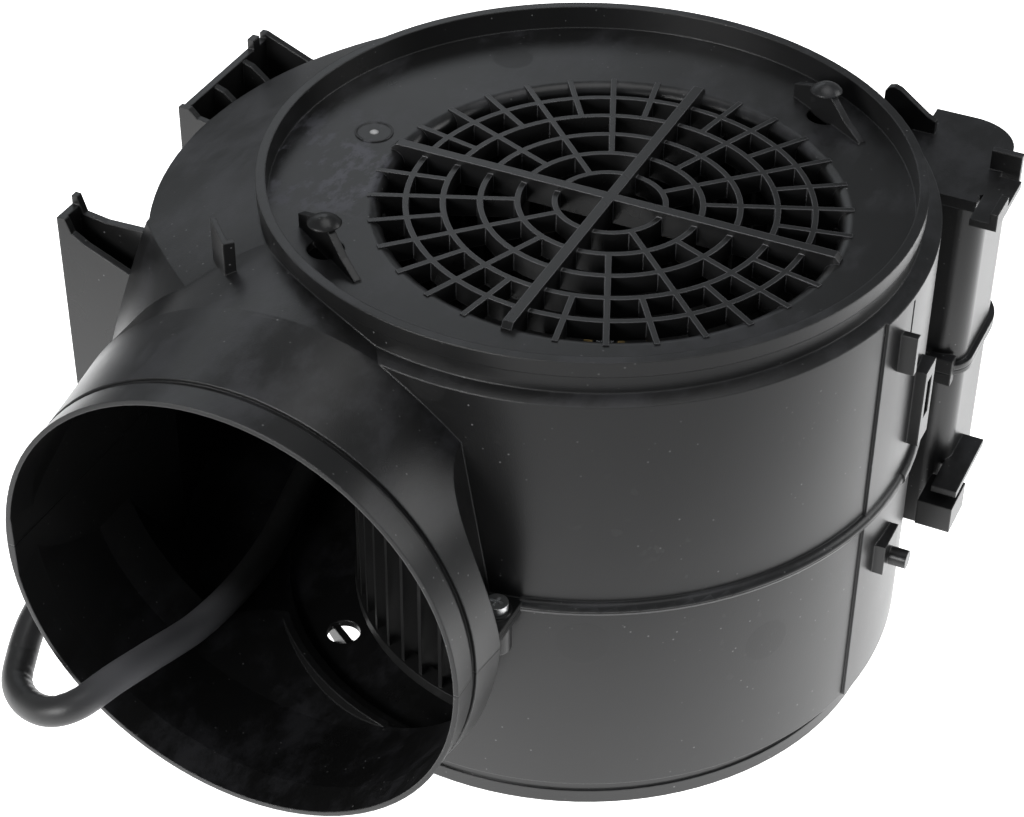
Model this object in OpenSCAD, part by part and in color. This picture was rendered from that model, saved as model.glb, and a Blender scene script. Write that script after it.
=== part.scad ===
/* [Housing] */
// Height over both inlet collars
housing_h = 173; // [165:1:190]
// Wall thickness of the moulded halves
wall = 2.5; // [2:0.1:3]
// Outer diameter of the inlet collars
collar_d = 206; // [202:0.5:210]
// Height of a collar above the shoulder
collar_h = 11; // [10:0.5:13]
// Straight land at the collar's crest, which a filter cap slides over
collar_land = 5; // [3:0.5:5]
// Relief of the collar below its land
collar_relief = 0.6; // [0.3:0.1:1]
// Depth of the inlet plate below the collar's crest
plate_drop = 8; // [7:0.5:9]
// Radius of the front wall around the collar's axis
front_r = 107; // [106:0.5:107.5]
// Radius of the scroll's back wall
scroll_r = 123.5; // [123:0.5:126]
// Angle of the small step between the front wall and the back wall
step_angle = 13; // [8:1:16]
// Distance of the back wall's centre from the collar's axis
scroll_shift = 16; // [14:0.5:16]
// Slope of the shoulder in degrees
shoulder_slope = 18; // [14:1:20]
// Place of the scroll's front left face behind the outlet
throat_y = 60; // [56:1:62]
// Radius of the round bead along each side of the seam
bead_r = 2.4; // [2:0.1:3]

/* [Outlet] */
// Outer diameter of the outlet's lip
outlet_d = 152; // [148:1:155]
// Distance of the outlet's axis from the collar's axis
outlet_shift = 49.5; // [46:0.5:53]
// Distance of the outlet's mouth from the collar's axis
outlet_reach = 147.5; // [145:0.5:155]
// Width of the lip
lip_w = 9; // [7:0.5:10]
// Thickness of the lip at the mouth
lip_wall = 1.6; // [1.4:0.1:2]
// Width of the groove behind the lip
lip_groove_w = 2; // [1.5:0.5:3]
// Depth of the groove behind the lip
lip_groove = 0.8; // [0.5:0.1:0.9]
// Radius of the duct where it leaves the casing
duct_r = 80.3; // [79:0.1:81]
// Distance from the collar's axis at which the duct starts to narrow
duct_straight = 105; // [100:1:110]
// Radius of the flare where the duct grows out of the casing's corner
flare_r = 98.5; // [96:0.5:100]
// Distance from the collar's axis at which the flare ends
flare_end = 88; // [84:1:92]
// Radius of the hollow between duct and casing, at the seam
tongue_r = 17.5; // [17:0.5:19]
// Draft of that hollow in degrees, which widens it away from the seam
tongue_draft = 9; // [7:0.5:10]
// Place of that hollow's centre beside the collar's axis
tongue_x = 34; // [32:0.5:36]
// Thickness of the web that fills the hollow at the seam, in each half
web_t = 2; // [1.5:0.1:3]

/* [Inlet guard] */
// Place of the rotor's axis, to the right of the collar's axis
rotor_x = 9.2; // [8:0.1:10]
// Place of the rotor's axis, in front of the collar's axis
rotor_front = 6.3; // [5:0.1:7]
// Radius of the inlet opening at the plate
inlet_r = 74; // [72:0.5:75]
// Radius of the rounded edge that leads into the opening
inlet_round = 4; // [3:0.5:5]
// Radius of the innermost ring
ring_first = 17; // [15:0.5:18]
// Distance between the rings
ring_pitch = 11.4; // [11:0.1:11.6]
// Width of the rings and spokes
rib_w = 1.8; // [1.5:0.1:2.4]
// Height of the rings and spokes below the plate
rib_h = 6; // [5.5:0.5:6]
// Rise of the rings and spokes above the plate
rib_rise = 0.4; // [0.3:0.1:0.6]
// Width of the two cross ribs
cross_w = 3.4; // [3:0.1:5]
// Rise of the cross ribs above the others
cross_rise = 2.5; // [1:0.5:4]
// Distance of the filter hooks from the collar's axis
hook_r = 87.5; // [87:0.5:89]
// Diameter of a filter hook's head
hook_d = 10.5; // [9:0.5:11]
// Height of the upper filter hooks above the plate
hook_h = 12; // [10:0.5:13]
// Height of the dome of a filter hook's head
hook_dome = 2.6; // [2:0.1:3]
// Thickness of the wall that carries a filter hook's head
hook_t = 2.4; // [2:0.1:3]

/* [Impeller] */
// Outer diameter of the impeller
impeller_d = 165; // [162:0.5:167]
// Inner diameter of the blade ring
blade_ring_d = 139; // [136:0.5:142]
// Number of blades
blade_count = 58; // [40:2:64]
// Thickness of a blade
blade_t = 1.4; // [1.2:0.1:2]
// Radius of a blade's curve
blade_curve = 12; // [11:0.5:14]
// Gap between the impeller and each guard
impeller_gap = 2.5; // [2:0.1:4]
// Height of the impeller's end rings
end_ring_h = 4; // [3:0.5:6]
// Radial width of the end rings
end_ring_w = 6; // [4:0.5:7]
// Thickness of the impeller's disc
disc_t = 2.5; // [2:0.1:3]
// Height of the raised centre of the disc above the seam
disc_rise = 10; // [9:0.5:12]
// Diameter of the impeller's hub
hub_d = 30; // [26:1:34]
// Diameter of the brass bush in the hub
bush_d = 15; // [14:0.5:17]
// Length of the brass bush
bush_h = 14; // [12:0.5:16]

/* [Motor] */
// Diameter of the stator core
stator_d = 96; // [92:1:98]
// Gap between the impeller's hub and the motor below it
shield_gap = 5.5; // [4:0.5:7]
// Diameter of the rotor
motor_rotor_d = 52; // [50:1:54]
// Air gap between rotor and stator
air_gap = 0.5; // [0.4:0.05:0.8]
// Number of stator slots
slot_count = 16; // [12:4:16]
// Diameter of the shaft
shaft_d = 8; // [7:0.5:9]
// Radial clearance of the shaft in its bearings
bearing_clear = 0.03; // [0.02:0.01:0.06]
// Outer diameter of the bearing bushes
bearing_d = 14; // [13:0.5:15]
// Length of the bearing bushes
bearing_h = 12; // [10:0.5:13]
// Outer diameter of the end shields
shield_d = 100; // [100:0.5:104]
// Wall thickness of the end shields
shield_t = 3; // [2.5:0.1:3.5]
// Height of the upper end shield
upper_shield_h = 15; // [14:0.5:16]
// Height of the lower end shield
lower_shield_h = 22; // [20:0.5:24]
// Diameter of the motor's long bolts
bolt_d = 4; // [3.5:0.1:4.5]
// Distance of the bolts from the rotor's axis
bolt_r = 42; // [41.5:0.1:42.2]
// Radial clearance of bolts in their holes
bolt_clear = 0.2; // [0.1:0.05:0.4]
// Diameter of the spider's motor plate
motor_plate_d = 92; // [90:1:94]
// Diameter of the vents in the motor plate
spider_vent_d = 12; // [10:0.5:14]
// Distance of the rubber mounts from the rotor's axis
mount_r = 32; // [30:0.5:34]
// Diameter of the rubber mounts
mount_d = 14; // [12:0.5:16]
// Height of the rubber mounts
mount_h = 6; // [5:0.5:7]

/* [Brackets] */
// Reach of the left mounting plates from the collar's axis
bracket_reach = 152; // [148:0.5:156]
// Thickness of the bracket plates
bracket_t = 2.5; // [2:0.1:3]
// Height of the bracket's top above the seam
bracket_h = 64; // [60:0.5:66]
// Front edge of the back left bracket
back_bracket_y = 4; // [2:0.5:6]
// Depth of the back left bracket
back_bracket_w = 57; // [54:0.5:60]
// Number of ribs inside the back left bracket
back_rib_count = 2; // [1:1:3]
// Length of the back plates of both left brackets
back_plate_w = 34; // [32:0.5:36]
// Length of the ribs of the back left bracket
front_rib_w = 20; // [18:0.5:22]
// Front face of the front left bracket
front_bracket_y = 69; // [68:0.5:72]
// Length of the front left bracket's front plate
front_plate_w = 39; // [37:0.5:41]
// Height of the front plate's low end above the seam
front_plate_low = 41; // [38:0.5:46]

/* [Electronics box] */
// Left wall of the box
box_left = 78; // [76:0.5:79]
// Right wall of the box
box_right = 108.5; // [107:0.5:110]
// Back wall of the box
box_back = 110; // [108:0.5:112]
// Front wall of the box
box_front = 62; // [60:0.5:64]
// Radius of the box's back corner
box_corner = 17; // [15:0.5:19]
// Radius of the box's front corner
box_front_corner = 8; // [6:0.5:9]
// Height of the box's top above the seam
box_h = 67.5; // [64:0.5:70]
// Diameter of the run capacitor
capacitor_d = 24; // [22:0.5:25]
// Height of the run capacitor
capacitor_h = 58; // [50:1:62]
// Width of the terminal block
terminal_w = 18; // [14:1:20]
// Depth of the terminal block
terminal_d = 9; // [8:0.5:10]
// Height of the terminal block
terminal_h = 16; // [12:1:20]
// Diameter of the terminal block's wire holes
terminal_hole_d = 3.4; // [3:0.1:3.6]

/* [Fixings] */
// Diameter of the seam screws
screw_d = 3.5; // [3:0.1:4]
// Diameter of a screw head
screw_head_d = 7; // [6.5:0.1:8]
// Height of a screw head
screw_head_h = 2.6; // [2:0.1:3]
// Diameter of the bosses round the seam screws
boss_d = 9; // [8.5:0.5:9.5]
// Depth of the screw bosses in each half
boss_h = 12; // [10:0.5:14]
// Diameter of the peg on the right wall
peg_d = 6; // [5:0.5:7]
// Reach of the peg and the lugs on the right, from the collar's axis
lug_reach = 116; // [113:0.5:118]
// Thickness of the lugs
lug_t = 2.5; // [2:0.1:3]

/* [Lead] */
// Diameter of the lead's sleeve
lead_d = 10; // [8:0.5:11]
// Diameter of the grommet's flange
grommet_d = 18; // [16:0.5:20]
// Thickness of each grommet flange
grommet_flange = 2; // [1.5:0.1:2.5]

/* [Hidden] */
$fn = 96;
eps = 0.01;
far = 400;
half_h = housing_h / 2;
collar_r = collar_d / 2;
collar_in = collar_r - wall - collar_relief;
shoulder_run = 60;
shoulder_z = half_h - collar_h;
plate_z = half_h - plate_drop;
shoulder_fall = tan(shoulder_slope);
wall_up = wall / cos(shoulder_slope);
rotor_y = -rotor_front;
rotor = [rotor_x, rotor_y, 0];
outlet_r = outlet_d / 2;
neck_r = outlet_r - lip_groove;
duct_end_step = 0.4;
duct_end_r = outlet_r + duct_end_step;
lip_y = outlet_reach - lip_w;
neck_y = lip_y - lip_groove_w;
duct_start = 40;

// Heights of the guard, the impeller and the motor above the base
guard_top = plate_drop + rib_h;
impeller_z = guard_top + impeller_gap;
impeller_h = housing_h - 2 * impeller_z;
disc_z = half_h + disc_rise;
hub_drop = 4;
hub_z = disc_z - hub_drop;
blade_inset = 0.8;
hub_top = hub_z + bush_h;
mount_z = guard_top;
shield_z = mount_z + mount_h;
upper_shield_top = hub_z - shield_gap;
stack_z = shield_z + lower_shield_h;
stack_top = upper_shield_top - upper_shield_h;
stack_h = stack_top - stack_z;
bearing_step = 2;
lower_bearing_z = shield_z + bearing_step;
upper_bearing_z = upper_shield_top - bearing_h;
shaft_z = lower_bearing_z;
bearing_wall = 4;
nut_h = 5;
nut_af = 13;
shaft_tip = 2;
shaft_top = hub_top + nut_h + shaft_tip;
shaft_r = shaft_d / 2;
rotor_r = motor_rotor_d / 2;
bore_r = rotor_r + air_gap;
cage_h = 4;
cap_t = 1.2;
boss_wall = 2.4;
winding_h = 9;
winding_clear = 0.6;
winding_r = bolt_r - bolt_d / 2 - boss_wall - winding_clear;
bolt_head_d = bolt_d * 1.9;
bolt_head_h = 2.6;
bolt_tail = 4;
bolt_nut_d = 7.6;
bolt_nut_h = 3.2;
throat_r = inlet_r - inlet_round;
spoke_over = 0.5;
ring_count = 5;
ring_second = ring_first + ring_pitch;
spoke_step = 11.25;
lower_hook_h = plate_drop;
hook_turns = [[-130.5, 97], [54.5, -88]];
hook_long = 20;
hook_short = 15;
hook_ramp = 0.6;
hook_knee = 0.4;
hook_toe = 0.5;
hook_core = 0.8;
hook_flat = 0.06;
bolt_angles = [45, 135, 225, 315];
mount_angles = [0, 90, 180, 270];
tongue_y = -front_r;
web_x = outlet_r - outlet_shift;

// Places of the seam screws, with the height of the upper boss; each is rooted in what stands beside it
boss_merge = 0.5;
boss_in = bracket_t + boss_d / 2 - boss_merge;
tongue_seat_rise = 0.8;
tongue_seat = web_t + tongue_seat_rise;
tongue_screw = [21.5, tongue_y - 5];
// The box's screw stands on the diagonal of its rounded corner, with its head clear of the wall
head_clear = 0.3;
corner_room = box_front_corner - wall - screw_head_d / 2 - head_clear;
box_boss_in = box_front_corner - corner_room / sqrt(2);
seam_screws_at = [
    [tongue_screw.x, tongue_screw.y, tongue_seat],
    [-bracket_reach + boss_in, back_bracket_y + back_bracket_w - boss_in, boss_h],
    [box_right - box_boss_in, box_front + box_boss_in, boss_h],
];
box_screw = seam_screws_at[2];

capacitor_in = 13.5;
capacitor_at = [(box_left + box_right) / 2, box_back - wall - capacitor_in];
capacitor_z = half_h - box_h + wall;
terminal_clear = 1;
terminal_at = [box_right - wall - terminal_d, box_front + boss_in + boss_d / 2 + terminal_clear];
terminal_z = half_h + boss_h + 2 * terminal_clear;

// Blocks on the outside of the upper half: corner, with its height above the seam, and size
lug_root = box_right - wall / 2;
lug_front = 12;
wall_x = scroll_r - scroll_shift - wall / 2;
upper_blocks = [
    [[lug_root, box_front - lug_front, box_h - lug_t], [lug_reach - lug_root, 28, lug_t]],
    [[lug_reach - lug_t, box_front - lug_front, box_h - lug_t], [lug_t, lug_front, 6]],
    [[box_right - 4, box_front + 19, box_h - 4], [lug_reach - 1.5 - box_right + 4, lug_t, 11]],
    [[box_left + 12, box_front - 2, box_h - 4], [box_right - box_left - 14, 4, 4]],
    [[wall_x - 1, -15, 51.5], [6.5, lug_t, 13.5]],
    [[box_right - 10, box_front - 3, 0], [8, 4, 5.5]],
];

// Blocks on the outside of the lower half, with depths below the seam
lower_blocks = [
    [[lug_root, box_front - lug_front, 40], [lug_reach - lug_root, 32, lug_t]],
    [[box_right - 4.5, box_front - 15, 45.5], [lug_reach - box_right + 4.5, 16, 10]],
    [[wall_x - 1, -15, 16.5], [5, 13, 11]],
    [[box_right - 10, box_front - 3, 0], [8, 4, 4.5]],
];
peg_at = [wall_x, -8, 24.5];
latch_w = 9.5;
latch_y = 5;
latch_h = 28;
latch_frame = 2.5;
latch_z = 10.5;
latch_out = 4.8;
box_bead = bead_r * 0.8;

// Slit through the right wall below the shoulder
slit_at = [wall_x - wall, -7.5, half_h + 59.5];
slit = [3 * wall, 1.2, 13];

// Fin between the scroll and the box: outline of its top as lengths along it and depths below its peak
fin_y = 93.5;
fin_start = 14;
fin_root = 20;
fin_rise = 3;
fin_w = 18;
fin_top = [[fin_w, 9.4], [15, 8], [5, 0.6], [3, 0], [1, 0.6], [0, 2]];
tab_from = [-90.5, -76];
tab_angle = -45;
tab_len = 15;
tab_t = 1.8;
tab_h = 18;
tab_top = half_h - 1;

// Route of the lead's sleeve from the grommet into the outlet and along the scroll's floor
grommet_at = [-138, -front_bracket_y, 34];
grommet_neck = 1;
grommet_bite = 2;
lead_route = [
    [-138, -71, 34], [-139, -92, 35], [-138.5, -111, 36], [-136, -128, 35],
    [-133, -140, 31], [-128, -150, 29.5], [-119, -157, 31], [-108.5, -160, 34.5],
    [-100.5, -156, 37.5], [-96, -142, 38], [-93.5, -125, 34.5], [-91.5, -100.5, 28],
    [-91, -74, 25], [-95, -46, 21], [-100, -20, 21], [-104, 8, 24.5],
];
lead_sides = 12;
connector_len = 26;
connector_w = 16;
connector_h = 11;
contact_w = 2.6;
contact_depth = 12;
contact_pitch = 4;

plastic = [0.09, 0.09, 0.1];
metal = [0.75, 0.76, 0.78];
brass = [0.72, 0.52, 0.2];
copper = [0.7, 0.36, 0.16];
steel = [0.5, 0.51, 0.53];

// Height of the shoulder's outside above the seam at a radius from the collar's axis
function shoulder_at(r) = shoulder_z - (r - collar_r) * shoulder_fall;

// Sends a half's own frame, with the seam at 0 and the collar up, to its place
module half_place(upper) {
    translate([0, 0, half_h])
        mirror([0, 0, upper ? 0 : 1])
            children();
}

// Turns children to each angle on a circle about the rotor's axis
module around_rotor(angles, r) {
    for (a = angles)
        translate(rotor)
            rotate(a)
                translate([r, 0, 0])
                    children();
}

module ring(r_out, r_in, h) {
    linear_extrude(h)
        difference() {
            circle(r_out);
            circle(r_in);
        }
}

// Plan of the scroll, grown by g: a large arc round the back and a smaller one in front, with a step between
module scroll_plan(g) {
    step = far * [cos(step_angle), -sin(step_angle)];
    intersection() {
        translate([-scroll_shift, 0])
            circle(scroll_r + g);
        polygon([[0, 0], step, [far, far], [-far, far], [-far, -throat_y - g], [0, -throat_y - g]]);
    }
    circle(front_r + g);
}

// Plan of the electronics box, grown by g
module box_plan(g) {
    left = box_left - g;
    front = box_front - g;
    mid = (box_front + box_back) / 2;
    translate([left, mid])
        square([box_right - box_corner - left, box_back + g - mid]);
    translate([left, front])
        square([box_right - box_front_corner - left, mid + 1 - front]);
    translate([left, box_front + box_front_corner])
        square([box_right + g - left, box_back - box_corner - box_front - box_front_corner]);
    translate([box_right - box_corner, box_back - box_corner])
        circle(box_corner + g);
    translate([box_right - box_front_corner, box_front + box_front_corner])
        circle(box_front_corner + g);
}

// Revolved form under the shoulder's outside, with the solid collar on top
module shoulder_outside() {
    edge = collar_r + shoulder_run;
    foot = collar_r - collar_relief;
    rotate_extrude()
        polygon([
            [0, 0], [edge, 0], [edge, shoulder_at(edge)], [foot, shoulder_at(foot)],
            [foot, half_h - collar_land], [collar_r, half_h - collar_land],
            [collar_r, half_h], [0, half_h],
        ]);
}

// Revolved form under the shoulder's inside and the inlet plate
module shoulder_inside() {
    edge = collar_r + shoulder_run;
    rotate_extrude()
        polygon([
            [0, -1], [edge, -1], [edge, shoulder_at(edge) - wall_up],
            [collar_in, shoulder_at(collar_in) - wall_up],
            [collar_in, plate_z - wall], [0, plate_z - wall],
        ]);
}

// Turns a profile of radius and distance round the outlet's axis
module about_outlet() {
    translate([-outlet_shift, 0, 0])
        rotate([90, 0, 0])
            rotate_extrude()
                children();
}

// Everything above z and to the right of the duct's flat left side
module duct_room(z, g) {
    translate([-outlet_shift - outlet_r + g, -far, z])
        cube([far, far, far]);
}

// Flare that blends the casing's front left corner into the duct; g is the wall taken off
module flare_form(g) {
    fall = (flare_r - duct_r) / (flare_end - throat_y);
    more = 3;
    off = g * norm([1, fall]);
    intersection() {
        about_outlet()
            polygon([
                [0, duct_start], [flare_r + more * fall - off, duct_start],
                [flare_r + more * fall - off, throat_y - more],
                [duct_r - more * fall - off, flare_end + more], [0, flare_end + more],
            ]);
        duct_room(-1, g);
    }
}

// Casing of one half with its collar, before it is hollowed
module casing_outside() {
    intersection() {
        union() {
            linear_extrude(half_h)
                scroll_plan(0);
            flare_form(0);
        }
        shoulder_outside();
    }
}

// Air space of the scroll in one half
module casing_inside() {
    intersection() {
        union() {
            translate([0, 0, -1])
                linear_extrude(half_h)
                    scroll_plan(-wall);
            flare_form(wall);
        }
        shoulder_inside();
    }
}

// Outside of the round duct along the outlet's axis, with its lip and the groove behind it
module duct_form() {
    about_outlet()
        polygon([
            [0, duct_start], [duct_r, duct_start], [duct_r, duct_straight],
            [duct_end_r, neck_y], [neck_r, neck_y], [neck_r, lip_y], [outlet_r, lip_y],
            [outlet_r, outlet_reach], [0, outlet_reach],
        ]);
}

// Bore of the duct, which widens a little towards the mouth
module duct_bore() {
    mouth_r = outlet_r - lip_wall;
    about_outlet()
        polygon([
            [0, duct_start], [duct_r - wall, duct_start], [duct_r - wall, duct_straight],
            [duct_end_r - wall, neck_y], [mouth_r, outlet_reach], [mouth_r, outlet_reach + 1],
            [0, outlet_reach + 1],
        ]);
}

// Drafted hollow between duct and casing, grown by g
module tongue_hollow(g) {
    widening = tan(tongue_draft);
    translate([tongue_x, tongue_y, -1])
        cylinder(r1 = tongue_r + g - widening, r2 = tongue_r + g + widening * half_h, h = half_h + 1);
}

module duct_outside() {
    difference() {
        intersection() {
            duct_form();
            duct_room(0, 0);
        }
        tongue_hollow(0);
        cylinder(r = collar_r - collar_relief - wall / 2, h = far);
    }
}

module duct_inside() {
    difference() {
        intersection() {
            duct_bore();
            duct_room(-1, wall);
        }
        tongue_hollow(wall);
        translate([0, 0, shoulder_z - wall_up])
            cylinder(r = collar_r + wall, h = far);
    }
}

// Rounded bead along the seam, half of a torus for each stretch of wall
module seam_bead() {
    intersection() {
        union() {
            intersection() {
                rotate_extrude()
                    translate([front_r, 0])
                        circle(bead_r);
                translate([web_x - 1, -far, 0])
                    cube([far, far, far]);
            }
            intersection() {
                translate([-scroll_shift, 0, 0])
                    rotate_extrude()
                        translate([scroll_r, 0])
                            circle(bead_r);
                translate([-far, -throat_y, 0])
                    cube([far, throat_y, far]);
            }
            intersection() {
                translate([-scroll_shift, 0, 0])
                    rotate_extrude()
                        translate([scroll_r, 0])
                            circle(bead_r);
                translate([-far, 0, 0])
                    cube([2 * far, far, far]);
            }
            linear_extrude(box_bead)
                difference() {
                    box_plan(box_bead);
                    scroll_plan(-wall / 2);
                }
        }
        translate([-far, -far, 0])
            cube([2 * far, 2 * far, far]);
    }
}

// Web at the seam in the hollow beside the duct
module tongue_web() {
    linear_extrude(web_t)
        intersection() {
            translate([tongue_x, tongue_y])
                circle(tongue_r + 1);
            translate([0, -neck_y])
                square([web_x, neck_y - duct_start]);
        }
}

// Plate that stands upright along X from the bracket's left side, under the given outline
module bracket_plate(y, outline) {
    right = outline[len(outline) - 1].x;
    translate([-bracket_reach, y + bracket_t, 0])
        rotate([90, 0, 0])
            linear_extrude(bracket_t)
                polygon(concat([[0, 0]], outline, [[right, 0]]));
}

module back_left_bracket() {
    top = bracket_h;
    translate([-bracket_reach, back_bracket_y, 0])
        cube([bracket_t, back_bracket_w, top]);
    bracket_plate(back_bracket_y + back_bracket_w - bracket_t,
        [[0, top + 2], [2, top + 2], [19, top - 5], [back_plate_w, top - 8]]);
    bracket_plate(back_bracket_y, [[0, top + 1], [4, top + 1], [7, top - 2], [front_rib_w, top - 4]]);
    for (i = [1 : back_rib_count])
        bracket_plate(back_bracket_y + i * back_bracket_w / (back_rib_count + 1),
            [[0, top], [6, top - 2], [12, top - 7], [front_rib_w, top - 9]]);
    translate([-bracket_reach, back_bracket_y + back_bracket_w - 11, top - 1])
        cube([bracket_t, 4, 4.5]);
}

module front_left_bracket() {
    top = bracket_h;
    low = front_plate_low;
    w = front_plate_w;
    translate([-bracket_reach, -front_bracket_y, 0])
        cube([bracket_t, front_bracket_y - throat_y + bracket_t, top]);
    bracket_plate(-throat_y, [
        [0, top + 3], [2, top + 3], [4, top - 3], [12, top - 4], [back_plate_w, top - 3],
    ]);
    bracket_plate(-front_bracket_y, [
        [0, top], [3, top], [5, top - 5], [10, top - 8], [w * 0.5, low + 11], [w * 0.8, low + 6], [w, low],
    ]);
}

module blocks(list) {
    for (b = list)
        translate(b[0])
            cube(b[1]);
}

// Strap of the snap latch, a frame on the right wall above the seam
module latch_strap() {
    translate([wall_x, latch_y, latch_z])
        rotate([90, 0, 90])
            linear_extrude(latch_out)
                difference() {
                    square([latch_w, latch_h]);
                    translate([latch_frame, latch_h / 3])
                        square([latch_w - 2 * latch_frame, latch_h / 2]);
                }
}

// Fin between the scroll and the box, higher at its left
module fin() {
    peak = plate_z + fin_rise;
    root = box_h - fin_root;
    translate([box_left - fin_start, fin_y + lug_t, 0])
        rotate([90, 0, 0])
            linear_extrude(lug_t)
                polygon(concat([[0, root], [fin_w, root]], [for (p = fin_top) [p.x, peak - p.y]]));
}

// Small angled tab on the left of the shoulder
module shoulder_tab() {
    translate([tab_from.x, tab_from.y, tab_top - tab_h])
        rotate(tab_angle) {
            cube([tab_len, tab_t, tab_h]);
            translate([tab_len - tab_t, 0, 0])
                cube([tab_t, 2 * tab_t, tab_h]);
        }
}

module upper_details() {
    blocks(upper_blocks);
    latch_strap();
    fin();
    shoulder_tab();
}

module lower_details() {
    blocks(lower_blocks);
    translate(peg_at)
        rotate([0, 90, 0])
            cylinder(d = peg_d, h = lug_reach - wall_x);
}

// Hook for a twist-on filter: a ramped wall bridges the core hole and carries a domed head
module filter_hook(h) {
    head_r = hook_d / 2;
    dome_r = (pow(head_r, 2) + pow(hook_dome, 2)) / (2 * hook_dome);
    top = h - hook_dome;
    root = -wall / 2;
    translate([0, hook_t / 2, 0])
        rotate([90, 0, 0])
            linear_extrude(hook_t)
                polygon([
                    [-hook_short, root], [-hook_short, top / 2], [-head_r / 2, top + hook_toe],
                    [head_r / 2, top + hook_toe], [hook_long * hook_ramp, top * hook_knee],
                    [hook_long, hook_toe], [hook_long, root],
                ]);
    intersection() {
        translate([0, 0, h - dome_r])
            sphere(dome_r);
        translate([0, 0, top])
            cylinder(r = hook_d, h = hook_dome - hook_flat);
    }
}

// Turns each hook so that its long ramp points to the right and to the front
module hook_place() {
    for (h = hook_turns)
        rotate(h[0])
            translate([hook_r, 0, 0])
                rotate(h[1])
                    children();
}

// Rounded edge of the inlet opening, with a short straight throat
module inlet_edge() {
    translate([rotor_x, rotor_y, plate_z])
        rotate_extrude()
            difference() {
                translate([throat_r, -rib_h])
                    square([inlet_round + wall, rib_h]);
                difference() {
                    translate([throat_r - 1, -inlet_round])
                        square([inlet_round + 1, inlet_round + 1]);
                    translate([inlet_r, -inlet_round])
                        circle(inlet_round);
                }
                translate([throat_r + wall, -rib_h - 1])
                    square([inlet_round + wall, rib_h - wall + 1]);
            }
}

module boss_outside(upper) {
    for (p = seam_screws_at)
        translate([p.x, p.y, 0])
            cylinder(d = boss_d, h = upper ? p.z : boss_h);
}

// Room inside the electronics box, round its screw boss
module box_inside() {
    difference() {
        translate([0, 0, -eps])
            linear_extrude(box_h - wall + eps)
                difference() {
                    box_plan(-wall);
                    scroll_plan(0);
                }
        translate([box_screw.x, box_screw.y, -1])
            cylinder(d = boss_d, h = boss_h + 1);
    }
}

// Solid of one moulded half in its own frame, with its small mouldings as children
module housing_half(upper) {
    difference() {
        union() {
            difference() {
                union() {
                    casing_outside();
                    duct_outside();
                    linear_extrude(box_h)
                        box_plan(0);
                    seam_bead();
                    tongue_web();
                    back_left_bracket();
                    front_left_bracket();
                    boss_outside(upper);
                    children();
                }
                casing_inside();
                duct_inside();
                box_inside();
                translate([0, 0, plate_z])
                    cylinder(r = collar_in, h = far);
                translate([rotor_x, rotor_y, 0])
                    cylinder(r = inlet_r, h = far);
            }
            inlet_edge();
        }
        translate([0, 0, -1])
            for (p = seam_screws_at)
                translate([p.x, p.y, 0])
                    cylinder(d = screw_d, h = boss_h + 2);
        hook_place()
            translate([0, 0, plate_z - wall - 1])
                cylinder(d = hook_d + hook_core, h = wall + 2);
    }
    hook_place()
        translate([0, 0, plate_z])
            filter_hook(upper ? hook_h : lower_hook_h);
}

module upper_housing() {
    color(plastic)
        difference() {
            half_place(true)
                housing_half(true)
                    upper_details();
            translate(slit_at)
                cube(slit);
        }
}

module lower_housing() {
    color(plastic)
        difference() {
            half_place(false)
                housing_half(false)
                    lower_details();
            translate([grommet_at.x, grommet_at.y - 1, grommet_at.z])
                rotate([-90, 0, 0])
                    cylinder(d = lead_d + 2 * grommet_neck, h = bracket_t + 2);
        }
}

// Rings and spokes of a guard in plan; r_open is where they start
module guard_plan(r_open) {
    for (i = [0 : ring_count - 1])
        if (ring_first + i * ring_pitch > r_open)
            difference() {
                circle(ring_first + i * ring_pitch + rib_w / 2);
                circle(ring_first + i * ring_pitch - rib_w / 2);
            }
    spokes([for (a = [45 : 90 : 315]) a], max(r_open, ring_first), rib_w);
    spokes([for (a = [2 * spoke_step : 4 * spoke_step : 360]) a], max(r_open, ring_second), rib_w);
    spokes([for (a = [spoke_step : 2 * spoke_step : 360]) a], ring_first + 3 * ring_pitch, rib_w);
}

module spokes(angles, r_start, w) {
    for (a = angles)
        rotate(a)
            translate([r_start, -w / 2])
                square([inlet_r + 2 * spoke_over - r_start, w]);
}

// Room of a guard: the opening inside its rounded edge, and a low cone above the plate
module guard_room() {
    over = inlet_r + spoke_over;
    cone_foot = rib_h + 2 * rib_rise;
    rotate_extrude()
        difference() {
            polygon([
                [0, 0], [over, 0], [over, cone_foot],
                [over - cross_rise, cone_foot + cross_rise], [0, cone_foot + cross_rise],
            ]);
            translate([throat_r, -1])
                square([far, rib_h - inlet_round + 1]);
            translate([inlet_r, -1])
                square([far, rib_h + 1]);
            translate([inlet_r, rib_h - inlet_round])
                circle(inlet_round);
        }
}

// Ribs of a guard from its inner face up; their ends lie over the opening's rounded edge
module guard_ribs(r_open) {
    intersection() {
        union() {
            linear_extrude(rib_h + rib_rise)
                guard_plan(r_open);
            linear_extrude(rib_h + cross_rise)
                spokes([0 : 90 : 270], r_open - cross_w / 2, cross_w);
        }
        guard_room();
    }
}

module upper_inlet_guard() {
    color(plastic)
        translate([rotor_x, rotor_y, half_h + plate_z - rib_h])
            guard_ribs(0);
}

module lower_motor_spider() {
    plate_r = motor_plate_d / 2;
    color(plastic)
        difference() {
            translate([rotor_x, rotor_y, guard_top]) {
                mirror([0, 0, 1])
                    guard_ribs(plate_r - 1);
                translate([0, 0, -rib_h])
                    cylinder(r = plate_r, h = rib_h);
            }
            around_rotor(mount_angles, mount_r)
                cylinder(d = bolt_d + 2 * bolt_clear, h = guard_top + 1);
            around_rotor(bolt_angles, mount_r)
                cylinder(d = spider_vent_d, h = guard_top + 1);
            translate([rotor_x, rotor_y, -1])
                cylinder(r = bearing_d / 2 + bearing_wall, h = guard_top + 2);
        }
}

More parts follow.
